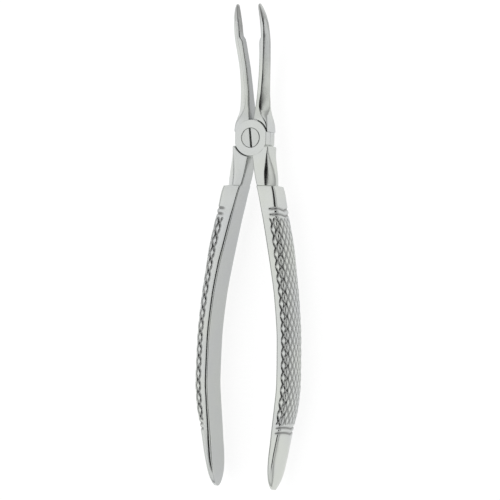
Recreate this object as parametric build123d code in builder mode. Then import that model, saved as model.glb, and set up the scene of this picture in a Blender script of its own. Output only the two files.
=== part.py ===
from build123d import *
import math
import os

# Extraction forceps with a screw joint, all sizes in millimetres.
# The frame: Z is the pivot axis, Z = 0 is the joint's rear face, and +Y runs to the beaks,
# which curve towards +Z. The forceps lies on the rear flats of its two handles.

# Joint
JOINT_THICKNESS = 7.6
MID = JOINT_THICKNESS / 2
LAP_PLAY = 0.05  # between the faces of the two lapped discs
DISC_RADIUS = 6.7
DISC_FLAT = 6.35  # half width over the disc's two flattened sides
WRAP_GAP = 0.3  # between a disc and the roots that wrap round it
CLEAR = 1.0  # how far a cut runs past the face it starts from

# Roots of the beak and of the handle, as half outlines on the +X side
BEAK_ROOT = ((3.0, 2.2), (6.75, 2.2), (6.7, 5.3), (6.3, 9.0), (1.1, 9.0), (0.8, 6.2))
HANDLE_ROOT = ((3.0, -3.0), (7.2, -3.0), (8.2, -9.0), (1.3, -9.0), (0.8, -6.2))

# Pivot screw
HEAD_RADIUS = 3.6
HEAD_DEPTH = 1.6
HEAD_PLAY = 0.08
SHANK_RADIUS = 2.3
SHANK_PLAY = 0.05
THREAD_RADIUS = 2.0
SLOT_WIDTH = 0.75
SLOT_DEPTH = 0.9
SLOT_TILT = 7.0  # degrees from +Y towards -X

# Handles
GRIP_STEP = -17.7  # where the neck steps out to the grip
HANDLE_END = -129.5
GRIP_WIDTH = 12.8  # across the front and rear flats
PADDLE = 14.0  # length of the rounded end
RING_WIDTH = 0.8
RING_DEPTH = 0.45

# Beaks
TIP = 48.8
BITE = 36.7  # where the gripping face steps back from the neck
HOLLOW_AT = 43.0
HOLLOW_LENGTH = 10.6
HOLLOW_RADIUS = 2.2
HOLLOW_X = 2.65  # of the hollow's axis

# Sections along one piece, as on the +X side. Each row gives y, the height of the section's
# centre over MID, its slope towards +Z in degrees, x of the inner face, x where the outer
# curve starts, x of the outermost point, the inner face's width and the full width.
BEAK_NECK = (
    (8.0, 0.0, 0, 0.95, 3.2, 6.4, 6.6, 7.4),
    (12.0, 0.2, 2, 1.3, 2.8, 6.15, 5.6, 6.0),
    (17.0, 0.5, 4, 1.6, 3.1, 5.95, 4.4, 4.8),
    (25.0, 1.4, 10, 2.3, 3.9, 6.25, 3.8, 4.1),
    (31.0, 2.75, 15, 2.9, 4.5, 6.75, 3.6, 3.9),
    (BITE, 4.35, 15, 3.4, 5.05, 7.2, 3.4, 3.7),
)
BEAK_TIP = (
    (BITE, 4.35, 15, 4.1, 5.05, 7.2, 3.0, 3.7),
    (40.8, 5.5, 17, 4.15, 5.4, 7.2, 2.9, 3.5),
    (43.8, 6.5, 20, 4.15, 5.2, 6.8, 2.8, 3.3),
    (46.0, 7.4, 22, 4.15, 4.9, 6.1, 2.5, 3.0),
    (47.4, 8.05, 24, 4.1, 4.75, 5.4, 2.2, 2.6),
    (TIP, 8.7, 24, 4.1, 4.4, 4.8, 1.2, 1.4),
)
HANDLE_NECK = (
    (-8.0, 0.0, 0, 1.15, 6.4, 8.3, 7.2, 7.6),
    (-11.8, 0.0, 0, 1.7, 6.0, 9.2, 7.3, 7.8),
    (GRIP_STEP, 0.0, 0, 3.1, 6.4, 10.1, 7.6, 8.2),
)
GRIP = (
    (GRIP_STEP, 0.0, 0, 3.2, 8.4, 10.7, 9.2, 9.6),
    (-26.2, 0.0, 0, 5.4, 10.3, 12.75, 10.2, 10.6),
    (-28.3, 0.0, 0, 5.9, 10.7, 13.35, 10.4, 10.8),
    (-40.7, 0.0, 0, 8.7, 13.2, 16.25, 11.6, 12.0),
    (-47.0, 0.0, 0, 10.1, 14.0, 17.0, 12.4, 12.8),
    (-60.0, 0.0, 0, 12.3, 15.8, 18.7, 12.7, 13.1),
    (-75.0, 0.0, 0, 13.65, 17.1, 19.8, 12.7, 13.1),
    (-90.0, 0.0, 0, 13.9, 17.35, 20.05, 12.7, 13.1),
    (-98.4, 0.0, 0, 13.3, 16.9, 19.5, 12.7, 13.1),
    (-106.2, 0.0, 0, 12.55, 15.6, 18.1, 12.7, 13.1),
    (-108.1, 0.0, 0, 12.4, 15.3, 17.75, 12.7, 13.1),
    (-116.2, 0.0, 0, 11.5, 14.6, 16.6, 12.7, 13.1),
    (-125.0, 0.0, 0, 11.0, 13.1, 14.5, 12.7, 13.1),
    (HANDLE_END, 0.0, 0, 11.1, 11.8, 12.4, 12.7, 13.1),
)
RINGS = (GRIP[1], GRIP[2], GRIP[9], GRIP[10])


def section_plane(row):
    """The plane of one section, square to the piece's run, with its local Y towards +Z."""
    slope = math.radians(row[2])
    return Plane(
        origin=(0, row[0], MID + row[1]),
        x_dir=(1, 0, 0),
        z_dir=(0, -math.cos(slope), -math.sin(slope)),
    )


def section_face(row, side, inset=0.0):
    """One D section: a flat inner face, two bands and an elliptical outer curve."""
    inner, start, bulge = row[3] * side, row[4] * side, row[5] - row[4] - inset
    face, full = row[6] / 2, row[7] / 2 - inset
    turn = 0 if side > 0 else 180
    with BuildSketch() as section:
        with BuildLine():
            Polyline((start, -full), (inner, -face), (inner, face), (start, full))
            EllipticalCenterArc((start, 0), bulge, full, start_angle=turn - 90, arc_size=180)
        make_face()
    return section.sketch


def mirrored(points, side):
    return [(side * x, y) for x, y in points]


def forged_half(beak_side, own_low, own_high, room_low, room_high):
    """One half: a beak on beak_side of the pivot and the handle on the other side of it.

    The half's own disc fills the heights from own_low to own_high, and the other half's
    disc turns in the room from room_low to room_high.
    """
    handle_side = -beak_side
    with BuildPart() as half:
        with BuildSketch():
            Polygon(*mirrored(BEAK_ROOT, beak_side), align=None)
            Polygon(*mirrored(HANDLE_ROOT, handle_side), align=None)
        extrude(amount=JOINT_THICKNESS)
        for rows, side in (
            (BEAK_NECK, beak_side),
            (BEAK_TIP, beak_side),
            (HANDLE_NECK, handle_side),
            (GRIP, handle_side),
        ):
            for row in rows:
                with BuildSketch(section_plane(row)):
                    add(section_face(row, side))
            loft()
        # Room for the other half's disc, then the half's own disc with its flattened sides.
        with BuildSketch(Plane.XY.offset(room_low)):
            Circle(DISC_RADIUS + WRAP_GAP)
        extrude(amount=room_high - room_low, mode=Mode.SUBTRACT)
        with BuildSketch(Plane.XY.offset(own_low)):
            Circle(DISC_RADIUS)
            Rectangle(2 * DISC_FLAT, 2 * DISC_RADIUS, mode=Mode.INTERSECT)
        extrude(amount=own_high - own_low)
        # Ring grooves round the outer curve at both ends of the grip.
        for row in RINGS:
            with BuildSketch(section_plane(row)):
                with Locations((handle_side * (row[4] + GRIP_WIDTH / 2), 0)):
                    Rectangle(GRIP_WIDTH, 2 * GRIP_WIDTH)
                add(section_face(row, handle_side, RING_DEPTH), mode=Mode.SUBTRACT)
            extrude(amount=RING_WIDTH / 2, both=True, mode=Mode.SUBTRACT)
        # The hollow along the gripping face of the beak's tip.
        slope = math.radians(BEAK_TIP[2][2])
        rise = (HOLLOW_AT - BEAK_TIP[2][0]) * math.tan(slope)
        run = Plane(
            origin=(beak_side * HOLLOW_X, HOLLOW_AT, MID + BEAK_TIP[2][1] + rise),
            x_dir=(1, 0, 0),
            z_dir=(0, math.cos(slope), math.sin(slope)),
        )
        with BuildSketch(run):
            Circle(HOLLOW_RADIUS)
        extrude(amount=HOLLOW_LENGTH / 2, both=True, mode=Mode.SUBTRACT)
        # Front and rear flats of the grip and its rounded end, cut by the side outline.
        with BuildSketch(Plane.YZ):
            with Locations((HANDLE_END + PADDLE, MID)):
                Ellipse(PADDLE, GRIP_WIDTH / 2)
                Rectangle(-HANDLE_END, GRIP_WIDTH, align=(Align.MIN, Align.CENTER))
            with Locations((0, -CLEAR)):
                Rectangle(TIP + 2 * CLEAR, 3 * JOINT_THICKNESS, align=Align.MIN)
        extrude(amount=4 * DISC_RADIUS, both=True, mode=Mode.INTERSECT)
    return half.part


os.makedirs("parts", exist_ok=True)

with BuildPart() as front_half:
    add(forged_half(-1, MID + LAP_PLAY, JOINT_THICKNESS, -CLEAR, MID + LAP_PLAY))
    with BuildSketch():
        Circle(SHANK_RADIUS + SHANK_PLAY)
    extrude(amount=JOINT_THICKNESS, mode=Mode.SUBTRACT)
    with BuildSketch(Plane.XY.offset(JOINT_THICKNESS - HEAD_DEPTH - LAP_PLAY)):
        Circle(HEAD_RADIUS + HEAD_PLAY)
    extrude(amount=HEAD_DEPTH + CLEAR, mode=Mode.SUBTRACT)

with BuildPart() as rear_half:
    add(forged_half(1, 0, MID, MID, JOINT_THICKNESS + CLEAR))
    with BuildSketch():
        Circle(THREAD_RADIUS)
    extrude(amount=JOINT_THICKNESS, mode=Mode.SUBTRACT)

with BuildPart() as pivot_screw:
    with BuildSketch():
        Circle(THREAD_RADIUS)
    extrude(amount=MID)
    with BuildSketch(Plane.XY.offset(MID)):
        Circle(SHANK_RADIUS)
    extrude(amount=MID - HEAD_DEPTH)
    with BuildSketch(Plane.XY.offset(JOINT_THICKNESS - HEAD_DEPTH)):
        Circle(HEAD_RADIUS)
    extrude(amount=HEAD_DEPTH)
    with BuildSketch(Plane.XY.offset(JOINT_THICKNESS - SLOT_DEPTH)):
        Rectangle(SLOT_WIDTH, 2 * HEAD_RADIUS + CLEAR, rotation=SLOT_TILT)
    extrude(amount=SLOT_DEPTH, mode=Mode.SUBTRACT)

for name, piece in (
    ("front_half", front_half.part),
    ("rear_half", rear_half.part),
    ("pivot_screw", pivot_screw.part),
):
    piece.label = name
    export_step(piece, f"parts/{name}.step")
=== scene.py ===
"""Extraction forceps: two forged halves lapped on a slotted pivot screw.

Sizes are in millimetres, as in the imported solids, and become metres where a mesh is made.
The pivot axis is Z, the beaks run to +Y and curve towards +Z, and the forceps lies on the
rear flats of its handles.
"""

import math

import bmesh
import bpy
import numpy as np
from mathutils import Matrix, Vector


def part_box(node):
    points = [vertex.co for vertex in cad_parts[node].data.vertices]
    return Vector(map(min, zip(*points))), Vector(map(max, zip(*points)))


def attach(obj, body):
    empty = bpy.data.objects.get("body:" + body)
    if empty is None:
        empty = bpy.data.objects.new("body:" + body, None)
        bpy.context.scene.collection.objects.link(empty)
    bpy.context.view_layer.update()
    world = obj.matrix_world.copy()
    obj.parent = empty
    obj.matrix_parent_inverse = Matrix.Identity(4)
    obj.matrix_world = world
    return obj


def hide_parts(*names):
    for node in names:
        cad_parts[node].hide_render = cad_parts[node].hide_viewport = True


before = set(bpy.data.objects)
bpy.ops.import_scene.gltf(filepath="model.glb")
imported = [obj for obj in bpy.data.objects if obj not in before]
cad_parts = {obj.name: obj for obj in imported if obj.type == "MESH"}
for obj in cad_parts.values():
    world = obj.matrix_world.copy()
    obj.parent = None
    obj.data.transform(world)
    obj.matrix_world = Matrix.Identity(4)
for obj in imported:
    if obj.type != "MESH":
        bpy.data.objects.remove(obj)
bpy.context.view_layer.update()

MM = 0.001
screw_low, screw_high = (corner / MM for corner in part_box("pivot_screw"))
half_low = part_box("front_half")[0] / MM

# Joint
THICKNESS = screw_high.z - screw_low.z
MID = THICKNESS / 2
LAP_PLAY = 0.05
DISC_RADIUS = 6.7
DISC_FLAT = 6.35  # half width over the disc's flattened sides
DISC_RIM = 0.22  # rounding of the disc's edges
ROOM_RADIUS = 7.0  # of the room that the other half's disc turns in
ROOM_FLARE = 0.3
UNDER_FLUSH = 0.004  # keeps the disc's faces clear of the roots' faces where they merge

# Pivot screw
HEAD_RADIUS = (screw_high.x - screw_low.x) / 2
HEAD_DEPTH = 1.6
HEAD_PLAY = 0.08
HEAD_EDGE = 0.22  # rounding of the head's edge
SHANK_RADIUS = 2.3
SHANK_PLAY = 0.05
THREAD_RADIUS = 2.0
THREAD_PLAY = 0.02
END_RECESS = 0.02  # of the screw's end, from the joint's rear face
END_CHAMFER = 0.3
END_RISE = 0.25  # height at which the end's chamfer stops
MOUTH = 0.16  # chamfer at the mouth of a bore
SLOT_WIDTH = 0.75
SLOT_DEPTH = 0.9
SLOT_TILT = 7.0  # degrees from +Y towards -X
SLOT_BREAK = 0.12  # how far the slot's edges open out at its mouth
CLEAR = 2.0  # how far a cutting solid runs past the face it starts from
HAIR = 0.001  # keeps two loops of a solid from falling on one height

# Sections along one piece, as on the +X side. Each row gives y, the height of the section's
# centre over MID, its slope towards +Z in degrees, x of the inner face, x where the outer
# curve starts, x of the outermost point, the inner face's width, the full width, the share
# of the half width that the outer curve takes, the curve's fullness (small for a bevel,
# ROUND for a round) and the rounding of the inner edge.
ROUND = 0.55
BEAK = (
    (2.2, 0.0, 0, 3.0, 6.3, 6.85, 7.5, 7.6, 0.12, ROUND, 0.25),
    (5.3, 0.0, 0, 1.1, 5.2, 6.75, 7.4, 7.6, 0.35, ROUND, 0.25),
    (6.8, 0.0, 0, 0.85, 4.2, 6.6, 7.2, 7.5, 0.5, 0.45, 0.25),
    (9.0, 0.0, 0, 1.05, 2.9, 6.4, 6.6, 6.95, 0.8, 0.28, 0.3),
    (10.6, 0.08, 1, 1.17, 2.5, 6.25, 6.0, 6.35, 0.93, 0.18, 0.3),
    (12.3, 0.2, 2, 1.3, 2.35, 6.15, 5.4, 5.8, 1.0, 0.12, 0.35),
    (17.0, 0.5, 4, 1.6, 2.8, 5.95, 4.2, 4.6, 1.0, 0.06, 0.4),
    (25.0, 1.4, 10, 2.3, 3.5, 6.25, 3.6, 4.0, 1.0, 0.06, 0.4),
    (31.0, 2.75, 15, 2.9, 4.1, 6.75, 3.5, 3.8, 1.0, 0.08, 0.4),
    (35.9, 4.15, 15, 3.35, 4.65, 7.2, 3.3, 3.6, 1.0, 0.1, 0.4),
    (37.5, 4.6, 15, 4.1, 4.9, 7.25, 3.1, 3.5, 1.0, 0.12, 0.3),
    (40.8, 5.5, 17, 4.15, 5.1, 7.15, 2.9, 3.3, 1.0, 0.15, 0.3),
    (43.8, 6.5, 20, 4.15, 4.9, 6.75, 2.7, 3.1, 1.0, 0.3, 0.3),
    (46.0, 7.4, 22, 4.15, 4.65, 6.1, 2.4, 2.8, 1.0, 0.45, 0.25),
    (47.4, 8.05, 24, 4.1, 4.55, 5.5, 2.1, 2.5, 1.0, ROUND, 0.25),
    (48.2, 8.4, 24, 4.1, 4.45, 5.1, 1.6, 1.9, 1.0, ROUND, 0.2),
    (48.65, 8.6, 24, 4.2, 4.45, 4.85, 1.0, 1.2, 1.0, ROUND, 0.15),
    (48.8, 8.7, 24, 4.35, 4.5, 4.65, 0.4, 0.5, 1.0, ROUND, 0.05),
)
HANDLE = (
    (-3.0, 0.0, 0, 3.0, 6.6, 7.35, 7.5, 7.6, 0.18, ROUND, 0.2),
    (-6.2, 0.0, 0, 0.85, 6.0, 7.85, 7.4, 7.6, 0.5, 0.4, 0.3),
    (-9.0, 0.0, 0, 1.2, 5.6, 8.55, 7.4, 7.6, 0.7, 0.35, 0.4),
    (-12.5, 0.0, 0, 1.75, 5.3, 9.35, 7.5, 7.8, 0.85, 0.28, 0.5),
    (-15.5, 0.0, 0, 2.4, 5.5, 9.9, 7.7, 8.0, 0.95, 0.25, 0.55),
    (-17.5, 0.0, 0, 3.0, 5.8, 10.1, 7.9, 8.2, 1.0, 0.25, 0.6),
    (-17.85, 0.0, 0, 3.2, 8.6, 10.6, 9.3, 9.6, 0.34, ROUND, 0.6),
    (-26.2, 0.0, 0, 5.4, 10.3, 12.6, 10.2, 10.6, 0.36, ROUND, 0.7),
    (-29.6, 0.0, 0, 6.2, 11.0, 13.7, 10.5, 10.9, 0.75, ROUND, 0.9),
    (-40.7, 0.0, 0, 8.7, 13.2, 16.25, 11.6, 12.0, 1.0, ROUND, 1.0),
    (-47.0, 0.0, 0, 10.1, 14.0, 17.0, 12.3, 12.7, 1.0, ROUND, 1.0),
    (-60.0, 0.0, 0, 12.3, 15.8, 18.7, 12.4, 12.8, 1.0, ROUND, 1.0),
    (-75.0, 0.0, 0, 13.65, 17.1, 19.8, 12.4, 12.8, 1.0, ROUND, 1.0),
    (-90.0, 0.0, 0, 13.9, 17.35, 20.05, 12.4, 12.8, 1.0, ROUND, 1.0),
    (-98.4, 0.0, 0, 13.3, 16.6, 19.5, 12.4, 12.8, 1.0, ROUND, 1.0),
    (-106.2, 0.0, 0, 12.5, 15.2, 18.1, 12.2, 12.8, 1.0, 0.45, 1.0),
    (-111.8, 0.0, 0, 11.95, 14.1, 17.3, 12.1, 12.8, 1.0, 0.35, 1.1),
    (-118.4, 0.0, 0, 11.35, 12.9, 16.1, 12.0, 12.8, 1.0, 0.35, 1.2),
    (-125.0, 0.0, 0, 10.95, 11.9, 14.5, 12.0, 12.8, 1.0, 0.45, 0.9),
    (half_low.y, 0.0, 0, 11.1, 11.6, 12.4, 12.2, 12.8, 1.0, ROUND, 0.5),
)
RIDGE_CUT = 0.5  # rounding where the flat band meets the outer curve
CAP_EDGE = 0.3  # rounding round the shoulders at the joint

# Grip
PADDLE = 14.0  # length of the rounded end
RINGS = (-26.2, -28.3, -106.2, -108.1)
RING_WIDTH = 0.9
RING_DEPTH = 0.45
RING_BOW = 0.7  # how far a ring groove bows towards the joint at the grip's shoulders
RING_SHOULDER = 0.6  # where across the outer surface the groove bows most
KNURL_START, KNURL_END = -29.3, -105.0
SMOOTH_SHARE = 0.62  # of the flat band that stays unknurled, next to the inner edge
LOZENGES = 7  # across the knurl, from band to band
LOZENGE_LENGTH = 4.5
KNURL_SPAN = 18.0  # the way round the outer surface, from band to band
KNURL_DEPTH = 0.4
CROSSING = 0.3  # how much deeper the knurl is where two grooves cross
GROOVE_WIDTH = 0.5  # from a groove's middle to the lozenge's top

# Beak hollow
BITE = 36.7
HOLLOW_DEPTH = 0.45
HOLLOW_SHARE = 0.86  # of the gripping face's width
SERRATION = 0.07  # half the height of a ridge
SERRATIONS = 6  # ridges across the hollow, each running along the beak
TIP_DULL = 0.6  # how far the whole tip takes the hollow's dull finish
BEAK_SHADE, HANDLE_SHADE = 1.0, 0.5  # how far the inner faces take the painted shade, a darker tint

# Mesh fineness
CELLS = 12  # cells along and across one lozenge
FACE_STEPS, EDGE_STEPS, BAND_STEPS = 5, 7, 3
BEAK_FACE_STEPS, BEAK_OUTER_STEPS = 15, 26
RIDGE_POINTS, CURVE_POINTS = 9, 60  # along each bend, before the even steps are laid out
ARC_POINTS = 60  # along each round side of a disc
TURN_STEPS = 128  # round a turned solid
SHARP_ANGLE = 50.0  # degrees over which an edge stays crisp
OFF_PATTERN = 9.0  # marks the points that lie outside the outer surface


def smooth_rows(table, y):
    """A table's columns at each y, along smooth curves that don't overshoot its rows."""
    table = np.array(sorted(table), float)
    knots, values = table[:, 0], table[:, 1:]
    step = np.diff(knots)[:, None]
    slope = np.diff(values, axis=0) / step
    before, after = slope[:-1], slope[1:]
    turning = before * after <= 0
    total = np.where(turning, 1.0, before + after)
    middle = np.where(turning, 0.0, 2 * before * after / total)
    tangent = np.vstack((slope[:1], middle, slope[-1:]))
    i = np.clip(np.searchsorted(knots, y) - 1, 0, len(knots) - 2)
    t = ((y - knots[i]) / step[i, 0])[:, None]
    return (
        (2 * t**3 - 3 * t**2 + 1) * values[i]
        + (t**3 - 2 * t**2 + t) * step[i] * tangent[i]
        + (3 * t**2 - 2 * t**3) * values[i + 1]
        + (t**3 - t**2) * step[i] * tangent[i + 1]
    )


def smooth_step(low, high, value):
    """0 up to low, 1 from high, and a smooth rise between them."""
    t = np.clip((value - low) / (high - low), 0, 1)
    return t * t * (3 - 2 * t)


def bent(before, corner, after, fullness, steps):
    """Points along a cubic that bends round the inside of a corner."""
    t = np.linspace(0, 1, steps)[:, None]
    first = before + (corner - before) * fullness
    second = after + (corner - after) * fullness
    return (
        (1 - t)**3 * before
        + 3 * t * (1 - t)**2 * first
        + 3 * t**2 * (1 - t) * second
        + t**3 * after
    )


def half_section(row, face_steps, outer_steps):
    """Half a section as (x, height) points, from the inner face's middle to the outermost.

    The last outer_steps spans are equally long, so that a pattern can lie on them.
    """
    inner, ridge, outer, face, full, share, fullness, edge = row
    face, full = face / 2, full / 2
    inner_edge, ridge_edge = np.array((inner, face)), np.array((ridge, full))
    band = ridge_edge - inner_edge
    length = np.linalg.norm(band)
    along = band / length
    plain_width = SMOOTH_SHARE * length
    edge = min(edge, 0.45 * face, 0.85 * plain_width)
    cut = min(RIDGE_CUT, 0.3 * length, 0.45 * (outer - ridge))
    border = inner_edge + along * plain_width
    flat = np.linspace((inner, 0), (inner, face - edge), face_steps + 1)
    bend = bent(flat[-1], inner_edge, inner_edge + along * edge, ROUND, EDGE_STEPS)
    plain = np.linspace(bend[-1], border, BAND_STEPS + 1)
    top = ridge_edge + (cut, 0)
    side = np.array((outer, full * (1 - share)))
    curve = np.vstack((
        border,
        bent(ridge_edge - along * cut, ridge_edge, top, ROUND, RIDGE_POINTS),
        bent(top, np.array((outer, full)), side, fullness, CURVE_POINTS),
        (outer, 0),
    ))
    run = np.concatenate(([0], np.cumsum(np.linalg.norm(np.diff(curve, axis=0), axis=1))))
    even = np.linspace(0, run[-1], outer_steps + 1)
    pattern = np.column_stack([np.interp(even, run, column) for column in curve.T])
    return np.vstack((flat, bend[1:], plain[1:], pattern[1:]))


def whole_sections(y, table, face_steps, outer_steps):
    """Closed sections at each y, with each point's place across the outer surface.

    The place is 0 at the outermost line, 1 and -1 at the borders of the plain bands.
    """
    rows = smooth_rows(table, y)
    halves = np.array([half_section(row[2:], face_steps, outer_steps) for row in rows])
    back = halves[:, -2:0:-1] * (1, -1)
    across = np.full(halves.shape[1], OFF_PATTERN)
    across[-outer_steps - 1:] = np.linspace(1, 0, outer_steps + 1)
    across = np.concatenate((across, -across[-2:0:-1]))
    return np.concatenate((halves, back), axis=1), rows, across


def outward(sections):
    """Unit normals of closed sections, pointing out."""
    run = np.roll(sections, -1, axis=1) - np.roll(sections, 1, axis=1)
    normal = np.stack((-run[..., 1], run[..., 0]), axis=-1)
    return normal / np.maximum(np.linalg.norm(normal, axis=-1, keepdims=True), 1e-9)


def knurl(y, across):
    """How deep the knurl is at each row and column, from 0 on a lozenge's top to 1."""
    places = across * LOZENGES / 2
    spacing = 1 / math.hypot(LOZENGES / KNURL_SPAN, 1 / LOZENGE_LENGTH)
    grooves = []
    for way in (1, -1):
        phase = places[None, :] + way * y[:, None] / LOZENGE_LENGTH
        distance = np.abs(phase - np.round(phase)) * spacing
        grooves.append(np.clip(1 - distance / GROOVE_WIDTH, 0, 1))
    one, other = grooves
    depth = np.maximum(one, other) + CROSSING * one * other
    far_end = smooth_step(KNURL_END - 0.3, KNURL_END + 0.6, y)
    near_end = 1 - smooth_step(KNURL_START - 0.6, KNURL_START + 0.3, y)
    border = 1 - smooth_step(0.93, 1.0, np.abs(across))
    return depth * (far_end * near_end)[:, None] * border[None, :]


def rings(y, across):
    """How deep the ring grooves are at each row and column, from 0 to 1."""
    out = np.minimum(np.abs(across), 1)
    border = 1 - smooth_step(0.8, 1.0, out)
    bow = RING_BOW * (((out - RING_SHOULDER) / RING_SHOULDER) ** 2 - 0.3)
    depth = np.zeros((len(y), len(across)))
    for place in RINGS:
        distance = y[:, None] - place + bow[None, :]
        depth = np.maximum(depth, np.exp(-((distance / (RING_WIDTH / 2)) ** 2)))
    return depth * border[None, :]


def closed_mesh(name, loops):
    """A mesh through a stack of closed loops (row, column, xyz in mm), with flat end caps."""
    rows, columns = loops.shape[:2]
    index = np.arange(rows * columns).reshape(rows, columns)
    beside = np.roll(index, -1, axis=1)
    quads = np.stack((index[:-1], beside[:-1], beside[1:], index[1:]), axis=-1).reshape(-1, 4)
    faces = quads.tolist() + [index[0][::-1].tolist(), index[-1].tolist()]
    mesh = bpy.data.meshes.new(name)
    mesh.from_pydata((loops.reshape(-1, 3) * MM).tolist(), [], faces)
    edit = bmesh.new()
    edit.from_mesh(mesh)
    bmesh.ops.recalc_face_normals(edit, faces=edit.faces)
    edit.to_mesh(mesh)
    edit.free()
    piece = bpy.data.objects.new(name, mesh)
    bpy.context.scene.collection.objects.link(piece)
    return piece


def mark(piece, name, values):
    """Stores a value at each point, for the materials."""
    attribute = piece.data.attributes.new(name, "FLOAT", "POINT")
    attribute.data.foreach_set("value", np.asarray(values, np.float32).ravel())


def inner_share(shape, face_steps, value):
    """The value at the points of the inner face and 0 elsewhere."""
    share = np.zeros(shape)
    share[:, :face_steps + 1] = value
    share[:, -face_steps:] = value
    return share


def placed(sections, y, rows, side):
    """Section points in the frame: side sets which side of the pivot the piece is on."""
    height, slope = rows[:, 0:1], np.radians(rows[:, 1:2])
    lift = sections[..., 1]
    x = side * sections[..., 0]
    back = y[:, None] - lift * np.sin(slope)
    z = MID + height + lift * np.cos(slope)
    return np.stack((x, back, z), axis=-1)


def capped(sections):
    """Draws in the first rows so that the shoulder's edge is rounded."""
    normal = outward(sections[:4])
    for i, inset in enumerate((CAP_EDGE, 0.42 * CAP_EDGE, 0.1 * CAP_EDGE)):
        sections[i] -= normal[i] * inset
    return sections


def beak(side):
    """One beak, with rows of points that lie closer where its shape turns faster."""
    root = BEAK[0][0]
    y = np.concatenate((
        (root, root + 0.1, root + 0.28),
        np.arange(root + 0.5, 35.6, 0.4),
        np.arange(35.7, 37.8, 0.12),
        np.arange(37.9, 47.3, 0.3),
        np.arange(47.4, 48.3, 0.15),
        np.linspace(48.35, BEAK[-1][0], 8),
    ))
    sections, rows, across = whole_sections(y, BEAK, BEAK_FACE_STEPS, BEAK_OUTER_STEPS)
    sections = capped(sections)
    lift = sections[..., 1]
    place = lift / (HOLLOW_SHARE * rows[:, 5:6] / 2)
    reach = np.clip(1 - place ** 2, 0, 1)
    reach *= (sections[..., 0] < rows[:, 2:3] + 0.05) & (np.abs(across)[None, :] > 2)
    along = smooth_step(BITE + 0.6, BITE + 2.4, y) * (1 - smooth_step(47.7, 48.5, y))
    hollow = reach * along[:, None]
    teeth = SERRATION * np.cos(place * math.pi * SERRATIONS)
    sections[..., 0] += HOLLOW_DEPTH * np.sqrt(hollow) + teeth * np.minimum(1, 3 * hollow)
    piece = closed_mesh("beak", placed(sections, y, rows, side))
    mark(piece, "groove", np.zeros(hollow.shape))
    # Marks the inner faces for the painted shade that darkens them
    mark(piece, "inner", inner_share(hollow.shape, BEAK_FACE_STEPS, BEAK_SHADE))
    dull = TIP_DULL * smooth_step(42.5, 45.0, y)[:, None]
    mark(piece, "hollow", np.maximum(np.minimum(1, 4 * hollow), dull))
    return piece


def handle(side):
    """One handle with its neck, ring grooves and knurl."""
    root = HANDLE[0][0]
    turn = PADDLE + half_low.y
    fine = LOZENGE_LENGTH / CELLS
    y = np.concatenate((
        (root, root - 0.1, root - 0.28),
        np.arange(root - 0.5, -17.3, -0.5),
        np.arange(-17.35, -18.05, -0.07),
        np.arange(-18.3, -25.0, -0.6),
        np.arange(-25.1, -29.6, -0.14),
        np.arange(-29.7, -104.6, -fine),
        np.arange(-104.7, -109.4, -0.14),
        np.arange(-109.6, turn, -0.5),
        turn - PADDLE * np.sin(np.linspace(0.02, 0.5 * math.pi - 0.02, 40)),
    ))
    sections, rows, across = whole_sections(y, HANDLE, FACE_STEPS, LOZENGES * CELLS // 2)
    end = np.sqrt(np.clip(1 - ((turn - np.minimum(y, turn)) / PADDLE) ** 2, 0, 1))
    sections[..., 1] *= end[:, None]
    sections = capped(sections)
    cuts, lines = knurl(y, across), rings(y, across)
    depth = KNURL_DEPTH * cuts + RING_DEPTH * lines
    sections -= outward(sections) * depth[..., None]
    piece = closed_mesh("handle", placed(sections, y, rows, side))
    # Marks the knurl and ring grooves for the painted shade that darkens them
    mark(piece, "groove", np.maximum(cuts, lines))
    # Marks the inner faces for the painted shade that darkens them
    mark(piece, "inner", inner_share(cuts.shape, FACE_STEPS, HANDLE_SHADE))
    mark(piece, "hollow", np.zeros(cuts.shape))
    return piece


def rounded_edge(radius, points):
    """A quarter round as (inset, rise) pairs, from the face to the side."""
    turn = np.linspace(0, math.pi / 2, points)
    return [(radius * (1 - math.sin(t)), radius * (1 - math.cos(t))) for t in turn]


def disc(low, high):
    """A half's lapped disc, with two flattened sides and rounded edges."""
    loops = []
    rim = rounded_edge(DISC_RIM, 5)
    levels = [(inset, low + rise) for inset, rise in rim]
    levels += [(inset, high - rise) for inset, rise in rim[::-1]]
    for inset, level in levels:
        radius, flat = DISC_RADIUS - inset, DISC_FLAT - inset
        start = math.acos(flat / radius)
        arc = np.linspace(start, math.pi - start, ARC_POINTS)
        x, y = radius * np.cos(arc), radius * np.sin(arc)
        side = np.column_stack((x, y, np.zeros(ARC_POINTS)))
        loops.append(np.vstack((side, side * (-1, -1, 1))) + (0, 0, level))
    return closed_mesh("disc", np.array(loops))


def turned(name, profile):
    """A closed solid turned about the pivot axis from (radius, height) points."""
    turn = np.linspace(0, 2 * math.pi, TURN_STEPS, endpoint=False)
    circle = np.column_stack((np.cos(turn), np.sin(turn)))
    loops = [np.column_stack((radius * circle, np.full(TURN_STEPS, z))) for radius, z in profile]
    return closed_mesh(name, np.array(loops))


def combine(piece, tool, operation):
    """Unites the piece with a tool solid, or cuts it, and removes the tool."""
    change = piece.modifiers.new("change", "BOOLEAN")
    change.operation = operation
    change.solver = "MANIFOLD"
    change.object = tool
    bpy.context.view_layer.update()
    shown = piece.evaluated_get(bpy.context.evaluated_depsgraph_get())
    mesh = bpy.data.meshes.new_from_object(shown)
    piece.modifiers.clear()
    piece.data = mesh
    bpy.data.objects.remove(tool)
    return piece


def joined(piece, other):
    """Adds a mesh that doesn't touch the piece's own."""
    edit = bmesh.new()
    edit.from_mesh(piece.data)
    edit.from_mesh(other.data)
    edit.to_mesh(piece.data)
    edit.free()
    bpy.data.objects.remove(other)
    return piece


def shade(piece):
    """Smooth shading that keeps flats flat and crisp edges crisp."""
    piece.data.shade_smooth()
    piece.data.set_sharp_from_angle(angle=math.radians(SHARP_ANGLE))
    weigh = piece.modifiers.new("weigh", "WEIGHTED_NORMAL")
    weigh.keep_sharp = True
    weigh.weight = 60


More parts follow.
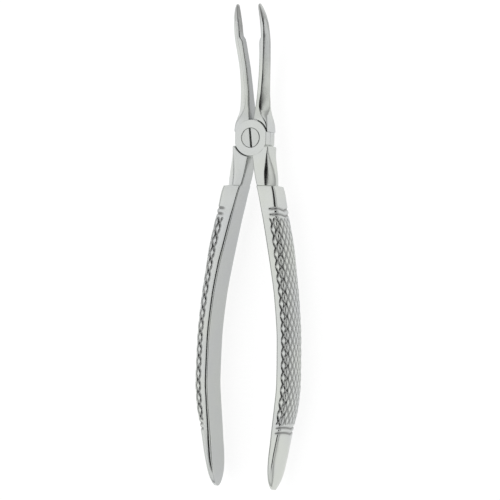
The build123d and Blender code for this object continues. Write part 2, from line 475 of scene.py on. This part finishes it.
def forged_half(name, beak_side, own_low, own_high, room):
    """A beak and the opposite handle, cut by the other disc's room, with the half's own disc."""
    piece = joined(beak(beak_side), handle(-beak_side))
    piece = combine(piece, turned("room", room), "DIFFERENCE")
    piece = combine(piece, disc(own_low, own_high), "UNION")
    piece.name = piece.data.name = name
    return piece


def steel(name, tint, roughness, painted_shade_and_dull_hollows):
    """Satin polished steel with a cloudy tint and fine grinding lines.

    With the last flag, painted shade darkens inner faces and grooves, and hollows are duller.
    """
    material = bpy.data.materials.new(name)
    material.use_nodes = True
    nodes, links = material.node_tree.nodes, material.node_tree.links
    shader = nodes["Principled BSDF"]
    shader.inputs["Metallic"].default_value = 1.0
    place = nodes.new("ShaderNodeTexCoord")

    def noise(scale, detail, stretch=(1, 1, 1)):
        mapping = nodes.new("ShaderNodeMapping")
        mapping.inputs["Scale"].default_value = stretch
        texture = nodes.new("ShaderNodeTexNoise")
        texture.inputs["Scale"].default_value = scale
        texture.inputs["Detail"].default_value = detail
        links.new(place.outputs["Object"], mapping.inputs["Vector"])
        links.new(mapping.outputs["Vector"], texture.inputs["Vector"])
        return texture.outputs["Fac"]

    def ramp(value, low, high):
        spread = nodes.new("ShaderNodeMapRange")
        spread.inputs["From Min"].default_value = 0.35
        spread.inputs["From Max"].default_value = 0.65
        spread.inputs["To Min"].default_value = low
        spread.inputs["To Max"].default_value = high
        links.new(value, spread.inputs["Value"])
        return spread.outputs["Result"]

    def blend(share, first, second, kind="RGBA"):
        mix = nodes.new("ShaderNodeMix")
        mix.data_type = kind
        a, b, out = (6, 7, 2) if kind == "RGBA" else (2, 3, 0)
        links.new(share, mix.inputs[0])
        for slot, value in ((a, first), (b, second)):
            if isinstance(value, bpy.types.NodeSocket):
                links.new(value, mix.inputs[slot])
            else:
                mix.inputs[slot].default_value = value
        return mix.outputs[out]

    def stored(attribute):
        node = nodes.new("ShaderNodeAttribute")
        node.attribute_name = attribute
        return node.outputs["Fac"]

    def tinted(color, factor):
        return tuple(channel * factor for channel in color) + (1.0,)

    cool = (tint[0] * 0.985, tint[1] * 0.995, tint[2] * 1.02)
    warm = (tint[0] * 0.995, tint[1] * 1.01, tint[2] * 0.975)
    clouds = ramp(noise(60, 3), 0.0, 1.0)
    color = blend(clouds, tinted(cool, 0.97), tinted(warm, 1.02))
    rough = blend(ramp(noise(240, 5), 0.0, 1.0), roughness, roughness * 1.45, "FLOAT")
    if painted_shade_and_dull_hollows:
        groove, hollow, inner = stored("groove"), stored("hollow"), stored("inner")
        # Painted shade: the inner faces are darkened to a cooler grey, for the dimmer
        # reflections they take
        color = blend(inner, color, tinted(cool, 0.6))
        # Painted shade: the knurl's and rings' grooves are darkened, for the shade that falls in
        # them
        color = blend(groove, color, tinted(tint, 0.45))
        rough = blend(groove, rough, 0.42, "FLOAT")
        color = blend(hollow, color, tinted(tint, 0.92))
        rough = blend(hollow, rough, 0.5, "FLOAT")
    links.new(color, shader.inputs["Base Color"])
    links.new(rough, shader.inputs["Roughness"])
    lines = nodes.new("ShaderNodeBump")
    lines.inputs["Strength"].default_value = 0.05
    lines.inputs["Distance"].default_value = 0.00002
    links.new(noise(5200, 4, (1, 0.06, 1)), lines.inputs["Height"])
    pits = nodes.new("ShaderNodeBump")
    pits.inputs["Strength"].default_value = 0.12
    pits.inputs["Distance"].default_value = 0.00006
    links.new(noise(900, 6), pits.inputs["Height"])
    links.new(lines.outputs["Normal"], pits.inputs["Normal"])
    links.new(pits.outputs["Normal"], shader.inputs["Normal"])
    return material


STEEL_TINT = (0.60, 0.61, 0.595)
forged = steel("forged_steel", STEEL_TINT, 0.17, True)
ground = steel("screw_steel", (0.58, 0.59, 0.575), 0.2, False)

front = forged_half(
    "forceps_front_half", -1, MID + LAP_PLAY, THICKNESS - UNDER_FLUSH,
    (
        (ROOM_RADIUS + ROOM_FLARE, -CLEAR),
        (ROOM_RADIUS + ROOM_FLARE, -0.01),
        (ROOM_RADIUS, ROOM_FLARE),
        (ROOM_RADIUS, MID + LAP_PLAY),
    ),
)
seat = THICKNESS - HEAD_DEPTH - LAP_PLAY
front = combine(front, turned("bore", (
    (SHANK_RADIUS + SHANK_PLAY, MID - 1.0),
    (SHANK_RADIUS + SHANK_PLAY, seat),
    (HEAD_RADIUS + HEAD_PLAY, seat + HAIR),
    (HEAD_RADIUS + HEAD_PLAY, THICKNESS - MOUTH),
    (HEAD_RADIUS + HEAD_PLAY + MOUTH, THICKNESS + HAIR),
    (HEAD_RADIUS + HEAD_PLAY + MOUTH, THICKNESS + CLEAR),
)), "DIFFERENCE")
rear = forged_half(
    "forceps_rear_half", 1, UNDER_FLUSH, MID,
    (
        (ROOM_RADIUS, MID),
        (ROOM_RADIUS, THICKNESS - ROOM_FLARE),
        (ROOM_RADIUS + ROOM_FLARE, THICKNESS + 0.01),
        (ROOM_RADIUS + ROOM_FLARE, THICKNESS + CLEAR),
    ),
)
rear = combine(rear, turned("bore", (
    (THREAD_RADIUS + MOUTH, -CLEAR),
    (THREAD_RADIUS + MOUTH, -HAIR),
    (THREAD_RADIUS, MOUTH),
    (THREAD_RADIUS, MID + 1.0),
)), "DIFFERENCE")

screw = turned("forceps_pivot_screw", (
    [(THREAD_RADIUS - END_CHAMFER, END_RECESS), (THREAD_RADIUS - THREAD_PLAY, END_RISE)]
    + [(THREAD_RADIUS - THREAD_PLAY, MID), (SHANK_RADIUS, MID + HAIR)]
    + [(SHANK_RADIUS, THICKNESS - HEAD_DEPTH), (HEAD_RADIUS, THICKNESS - HEAD_DEPTH + HAIR)]
    + [(HEAD_RADIUS - inset, THICKNESS - rise) for rise, inset in rounded_edge(HEAD_EDGE, 6)]
))
slot = closed_mesh("slot", np.array([
    [(-width, -9, level), (width, -9, level), (width, 9, level), (-width, 9, level)]
    for width, level in (
        (SLOT_WIDTH / 2, THICKNESS - SLOT_DEPTH),
        (SLOT_WIDTH / 2, THICKNESS - 0.1),
        (SLOT_WIDTH / 2 + SLOT_BREAK, THICKNESS + 0.02),
        (SLOT_WIDTH / 2 + SLOT_BREAK, THICKNESS + 1.0),
    )
], float))
slot.data.transform(Matrix.Rotation(math.radians(SLOT_TILT), 4, "Z"))
screw = combine(screw, slot, "DIFFERENCE")

for piece, node, body, slot_name, material in (
    (front, "front_half", "front", "forged_steel", forged),
    (rear, "rear_half", "rear", "forged_steel", forged),
    (screw, "pivot_screw", "rear", "screw_steel", ground),
):
    shade(piece)
    piece.data.materials.clear()
    piece.data.materials.append(material)
    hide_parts(node)
    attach(piece, body)

# Camera: it looks down on the forceps from 25 degrees towards +X of the pivot axis.
YAW, ROLL = math.radians(25.0), math.radians(1.6)
DISTANCE = 800.0
SCALE = 2.70  # picture points per mm at the pivot, in a picture 500 points wide
SENSOR = 36.0
PICTURE = 500.0
PIVOT_RIGHT, PIVOT_UP = 1.76, 41.4  # mm from the middle of the view to the pivot
away = Vector((math.sin(YAW), 0, math.cos(YAW)))
level = Vector((math.cos(YAW), 0, -math.sin(YAW)))
up = Vector((0, 1, 0))
right_way = level * math.cos(ROLL) + up * math.sin(ROLL)
up_way = up * math.cos(ROLL) - level * math.sin(ROLL)
spot = Vector((0, 0, MID)) + away * DISTANCE - right_way * PIVOT_RIGHT - up_way * PIVOT_UP
camera = bpy.data.objects.new("camera", bpy.data.cameras.new("camera"))
camera.data.sensor_width = SENSOR
camera.data.lens = SCALE * DISTANCE * SENSOR / PICTURE
camera.data.clip_start = 0.01
facing = Matrix((right_way, up_way, away)).transposed().to_4x4()
camera.matrix_world = Matrix.Translation(spot * MM) @ facing
bpy.context.scene.collection.objects.link(camera)
bpy.context.scene.camera = camera


def plain(name, color, glow):
    """A plain matt surface for the floor and the cards."""
    material = bpy.data.materials.new(name)
    material.use_nodes = True
    shader = material.node_tree.nodes["Principled BSDF"]
    shader.inputs["Base Color"].default_value = (*color, 1)
    shader.inputs["Roughness"].default_value = 0.9
    shader.inputs["Specular IOR Level"].default_value = 0.1
    shader.inputs["Emission Color"].default_value = (1, 1, 1, 1)
    shader.inputs["Emission Strength"].default_value = glow
    return material


def card(name, low, high, matrix, material):
    """A flat oblong sheet of the stage, between two corners."""
    (left, bottom), (right, top) = low, high
    corners = [(left, bottom, 0), (right, bottom, 0), (right, top, 0), (left, top, 0)]
    mesh = bpy.data.meshes.new(name)
    mesh.from_pydata(corners, [], [(0, 1, 2, 3)])
    mesh.materials.append(material)
    sheet = bpy.data.objects.new(name, mesh)
    sheet.matrix_world = matrix
    bpy.context.scene.collection.objects.link(sheet)


ground_level = Matrix.Translation((0, 0, half_low.z * MM))
card("floor", (-3, -3), (3, 3), ground_level, plain("floor_white", (0.3, 0.3, 0.3), 0.85))
behind = camera.matrix_world @ Matrix.Translation((0, 0, 0.25))
black = plain("card_black", (0.005, 0.005, 0.005), 0.0)
card("lens_card", (-0.52, -0.8), (0.52, 0.9), behind, black)


def soft_light(name, place, width, length, power):
    """An oblong area light, its length along Y, that faces the middle of the forceps."""
    lamp = bpy.data.lights.new(name, "AREA")
    lamp.shape = "RECTANGLE"
    lamp.size = width
    lamp.size_y = length
    lamp.energy = power
    holder = bpy.data.objects.new(name, lamp)
    middle = Vector((0, -0.04, 0))
    holder.location = middle + Vector(place)
    holder.rotation_euler = (-Vector(place)).to_track_quat("-Z", "Y").to_euler()
    bpy.context.scene.collection.objects.link(holder)


soft_light("upper_left", (-0.75, -0.16, 1.05), 0.9, 0.8, 0.36)
soft_light("right", (1.2, -0.1, 0.6), 0.7, 0.7, 0.1)

# The tent's grey at each height over the horizon, which the steel mirrors
SKY = ((0.0, 0.9), (0.03, 0.45), (0.18, 0.5), (0.4, 0.95), (1.0, 1.0))
world = bpy.data.worlds.new("tent")
world.use_nodes = True
bpy.context.scene.world = world
tree = world.node_tree
background = tree.nodes["Background"]
background.inputs["Strength"].default_value = 0.95
way = tree.nodes.new("ShaderNodeTexCoord")
split = tree.nodes.new("ShaderNodeSeparateXYZ")
heights = tree.nodes.new("ShaderNodeValToRGB")
stops = heights.color_ramp.elements
for height, grey in SKY[1:-1]:
    stops.new(height)
for stop, (height, grey) in zip(stops, SKY):
    stop.color = (grey, grey, grey, 1)
tree.links.new(way.outputs["Generated"], split.inputs["Vector"])
tree.links.new(split.outputs["Z"], heights.inputs["Fac"])
tree.links.new(heights.outputs["Color"], background.inputs["Color"])
bpy.context.scene.view_settings.view_transform = "Standard"
